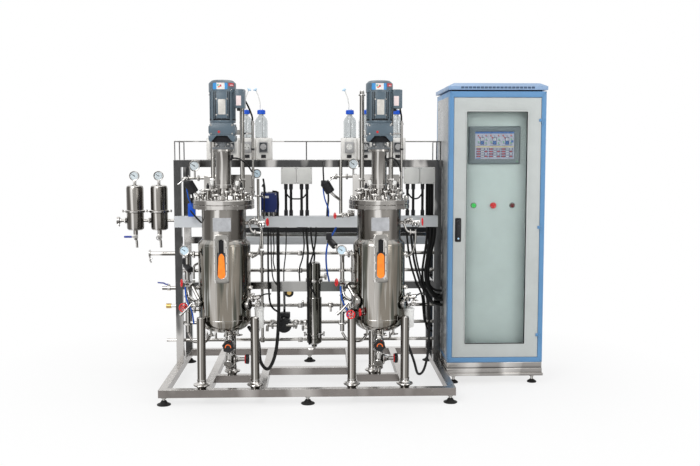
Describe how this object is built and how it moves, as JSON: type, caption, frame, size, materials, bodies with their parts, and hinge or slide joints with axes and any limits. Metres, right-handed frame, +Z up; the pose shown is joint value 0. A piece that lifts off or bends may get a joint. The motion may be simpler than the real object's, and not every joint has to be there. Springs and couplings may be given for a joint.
{
  "type": "twin vessel bioreactor with control cabinet",
  "caption": "Stirred stainless fermentation vessels with overhead drives on a piped steel skid, beside a tall glazed control cabinet.",
  "frame": {"origin": "centre of the plan bounding box, at floor level", "axes": "+X along the row of vessels towards the cabinet, +Y away from the operator, +Z up"},
  "size_m": [2.831, 1.233, 1.969],
  "materials": {
    "stainless": "polished",
    "skid_steel": "brushed",
    "motor_paint": "satin",
    "black_rubber": "matte",
    "duct_grey": "satin",
    "housing_grey": "matte",
    "black_plastic": "matte",
    "red_plastic": "gloss",
    "blue_plastic": "gloss",
    "cabinet_blue": "satin",
    "cabinet_white": "satin",
    "door_glass": "clear",
    "bottle_glass": "clear",
    "panel_paint": "satin"
  },
  "bodies": {
    "frame": {"skid_frame": "skid_steel", "cabinet_base": "skid_steel", "rear_frame": "stainless", "service_pipes": "stainless", "filter_housing_outer": "stainless", "filter_housing_inner": "stainless", "heat_exchanger": "stainless", "cable_duct_upper": "duct_grey", "cable_duct_lower": "duct_grey", "skid_foot_front_left": "black_rubber", "skid_foot_front_middle": "black_rubber", "skid_foot_front_right": "black_rubber", "skid_foot_back_left": "black_rubber", "skid_foot_back_middle": "black_rubber", "skid_foot_back_right": "black_rubber", "cabinet_hose": "black_rubber", "pump_bank_left": "housing_grey", "pump_bank_right": "housing_grey", "junction_boxes_left": "housing_grey", "junction_boxes_right": "housing_grey", "bottle_1": "bottle_glass", "bottle_2": "bottle_glass", "bottle_3": "bottle_glass", "bottle_4": "bottle_glass", "bottle_5": "bottle_glass", "circulation_pump": "black_plastic", "cabinet_body": "cabinet_blue", "cabinet_roof": "cabinet_white", "control_panel": "panel_paint", "vessel_left": "stainless", "sight_glass_frame_left": "stainless", "vessel_lid_left": "stainless", "drive_column_left": "stainless", "bottom_valve_left": "stainless", "side_valves_left": "stainless", "gearbox_left": "motor_paint", "motor_left": "motor_paint", "motor_cable_left": "black_rubber", "vessel_right": "stainless", "sight_glass_frame_right": "stainless", "vessel_lid_right": "stainless", "drive_column_right": "stainless", "bottom_valve_right": "stainless", "side_valves_right": "stainless", "gearbox_right": "motor_paint", "motor_right": "motor_paint", "motor_cable_right": "black_rubber"},
    "cabinet_door": {"cabinet_door": "cabinet_white", "cabinet_door_glass": "door_glass"},
    "door_handle": {"cabinet_door_handle": "black_plastic"},
    "emergency_stop": {"emergency_stop": "red_plastic"},
    "drain_lever": {"drain_lever": "blue_plastic"},
    "agitator_left": {"agitator_left": "stainless"},
    "bottom_valve_knob_left": {"bottom_valve_knob_left": "black_plastic"},
    "drain_knob_left": {"drain_knob_left": "black_plastic"},
    "handwheel_left": {"handwheel_left": "red_plastic"},
    "agitator_right": {"agitator_right": "stainless"},
    "bottom_valve_knob_right": {"bottom_valve_knob_right": "black_plastic"},
    "drain_knob_right": {"drain_knob_right": "black_plastic"},
    "handwheel_right": {"handwheel_right": "red_plastic"}
  },
  "joints": [
    {"name": "cabinet_door_swing", "type": "hinge", "parent": "frame", "child": "cabinet_door", "pos_m": [1.3825, -0.1455, 1.028], "axis": [0, 0, 1], "range_deg": [0, 110]},
    {"name": "door_handle_turn", "type": "hinge", "parent": "cabinet_door", "child": "door_handle", "pos_m": [0.8425, -0.1448, 1.072], "axis": [0, -1, 0], "range_deg": [0, 90]},
    {"name": "emergency_stop_press", "type": "slide", "parent": "frame", "child": "emergency_stop", "axis": [0, 1, 0], "range_m": [0, 0.005], "stiffness_N_per_m": 400},
    {"name": "drain_lever_turn", "type": "hinge", "parent": "frame", "child": "drain_lever", "pos_m": [-1.2935, 0.1442, 0.959], "axis": [0, -1, 0], "range_deg": [0, 90]},
    {"name": "agitator_left_spin", "type": "hinge", "parent": "frame", "child": "agitator_left", "pos_m": [-0.6385, -0.4305, 0.9], "axis": [0, 0, 1], "continuous": true},
    {"name": "bottom_valve_knob_left_turn", "type": "hinge", "parent": "frame", "child": "bottom_valve_knob_left", "pos_m": [-0.6125, -0.4965, 0.345], "axis": [0, -1, 0], "range_deg": [0, 360]},
    {"name": "drain_knob_left_turn", "type": "hinge", "parent": "frame", "child": "drain_knob_left", "pos_m": [-0.5205, -0.4305, 0.248], "axis": [1, 0, 0], "range_deg": [0, 360]},
    {"name": "handwheel_left_turn", "type": "hinge", "parent": "frame", "child": "handwheel_left", "pos_m": [-0.8825, -0.5025, 0.585], "axis": [0, -1, 0], "range_deg": [0, 360]},
    {"name": "agitator_right_spin", "type": "hinge", "parent": "frame", "child": "agitator_right", "pos_m": [0.3095, -0.4305, 0.9], "axis": [0, 0, 1], "continuous": true},
    {"name": "bottom_valve_knob_right_turn", "type": "hinge", "parent": "frame", "child": "bottom_valve_knob_right", "pos_m": [0.3095, -0.4965, 0.345], "axis": [0, -1, 0], "range_deg": [0, 360]},
    {"name": "drain_knob_right_turn", "type": "hinge", "parent": "frame", "child": "drain_knob_right", "pos_m": [0.4015, -0.4305, 0.248], "axis": [1, 0, 0], "range_deg": [0, 360]},
    {"name": "handwheel_right_turn", "type": "hinge", "parent": "frame", "child": "handwheel_right", "pos_m": [0.1295, -0.6005, 0.554], "axis": [0, -1, 0], "range_deg": [0, 360]}
  ]
}
